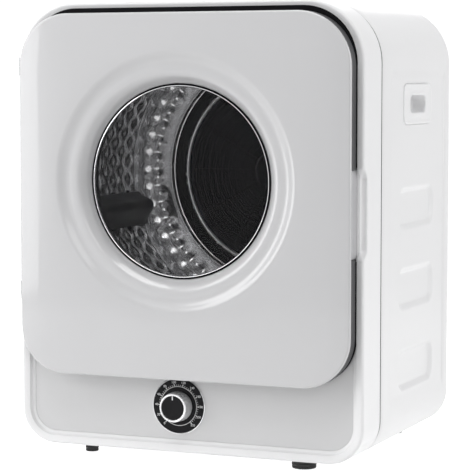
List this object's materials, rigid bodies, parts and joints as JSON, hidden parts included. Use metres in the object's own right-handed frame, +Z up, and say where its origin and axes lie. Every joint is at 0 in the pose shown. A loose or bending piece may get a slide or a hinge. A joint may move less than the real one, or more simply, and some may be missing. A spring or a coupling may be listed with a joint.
{
  "type": "clothes dryer",
  "caption": "Compact front-loading tumble dryer with a round smoked window, a side-hinged door, a turning steel drum, a timer knob and a rear air outlet.",
  "frame": {"origin": "on the floor, under the centre of the machine's outer box", "axes": "+X to the right of someone facing the door, -Y out of the door, +Z up"},
  "size_m": [0.49, 0.391, 0.604],
  "materials": {
    "white_enamel": "gloss",
    "white_plastic": "gloss",
    "door_white": "high gloss",
    "black_plastic": "satin",
    "smoked_glass": "polished, smoked",
    "chrome_trim": "polished",
    "silver_knob": "satin",
    "stainless_drum": "bright stainless",
    "grey_plastic": "satin",
    "zinc_steel": "zinc plated",
    "cast_metal": "cast",
    "rubber_black": "matt",
    "seal_rubber": "matt",
    "felt_grey": "felt",
    "ceramic_heater": "matt ceramic"
  },
  "bodies": {
    "cabinet": {"cabinet_wrap": "white_enamel", "front_frame": "white_plastic", "front_panel": "white_plastic", "pull_recess": "white_plastic", "front_collar": "grey_plastic", "drum_seal": "felt_grey", "base_pan": "zinc_steel", "rear_cover": "zinc_steel", "rear_screw_1": "zinc_steel", "rear_screw_2": "zinc_steel", "rear_screw_3": "zinc_steel", "rear_screw_4": "zinc_steel", "power_inlet": "black_plastic", "side_grip_left": "white_plastic", "side_grip_right": "white_plastic", "foot_front_right": "rubber_black", "foot_front_left": "rubber_black", "foot_rear_right": "rubber_black", "foot_rear_left": "rubber_black", "dial_plate": "black_plastic", "dial_ring": "chrome_trim", "timer_body": "black_plastic", "door_catch": "grey_plastic", "door_switch": "black_plastic", "hinge_arm_upper": "zinc_steel", "hinge_arm_lower": "zinc_steel", "drum_bearing": "cast_metal", "motor_body": "cast_metal", "motor_bracket": "zinc_steel", "blower_housing": "grey_plastic", "exhaust_collar": "black_plastic", "drive_belt": "rubber_black", "heater_duct": "zinc_steel", "heater_element": "ceramic_heater", "safety_thermostat": "black_plastic", "run_capacitor": "grey_plastic"},
    "door": {"door_shell": "door_white", "door_liner": "black_plastic", "door_window": "smoked_glass", "window_trim": "chrome_trim", "door_gasket": "seal_rubber", "door_pull": "white_plastic", "latch_hook": "grey_plastic", "hinge_leaf_upper": "zinc_steel", "hinge_leaf_lower": "zinc_steel"},
    "drum": {"drum_shell": "stainless_drum", "drum_back": "stainless_drum", "drum_lifter_1": "grey_plastic", "drum_lifter_2": "grey_plastic", "drum_lifter_3": "grey_plastic", "lint_filter_cover": "grey_plastic", "drum_shaft": "zinc_steel"},
    "motor_rotor": {"motor_shaft": "zinc_steel", "motor_pulley": "zinc_steel", "blower_wheel": "grey_plastic"},
    "knob": {"timer_knob": "silver_knob"},
    "plunger": {"switch_plunger": "white_plastic"}
  },
  "joints": [
    {"name": "door_hinge", "type": "hinge", "parent": "cabinet", "child": "door", "pos_m": [-0.238, -0.178, 0.37], "axis": [0, 0, -1], "range_deg": [0, 110]},
    {"name": "drum_spin", "type": "hinge", "parent": "cabinet", "child": "drum", "pos_m": [-0.009, 0.168, 0.37], "axis": [0, 1, 0], "continuous": true},
    {"name": "motor_spin", "type": "hinge", "parent": "cabinet", "child": "motor_rotor", "pos_m": [0.118, 0.006, 0.0711], "axis": [0, 1, 0], "continuous": true},
    {"name": "timer_turn", "type": "hinge", "parent": "cabinet", "child": "knob", "pos_m": [-0.0145, -0.185, 0.0734], "axis": [0, 1, 0], "range_deg": [0, 330]},
    {"name": "switch_press", "type": "slide", "parent": "cabinet", "child": "plunger", "axis": [0, 1, 0], "range_m": [0, 0.0035], "stiffness_N_per_m": 150, "springref_m": -0.002}
  ],
  "couplings": [
    {"joint": "motor_spin", "follows": "drum_spin", "ratio": 21.2}
  ]
}
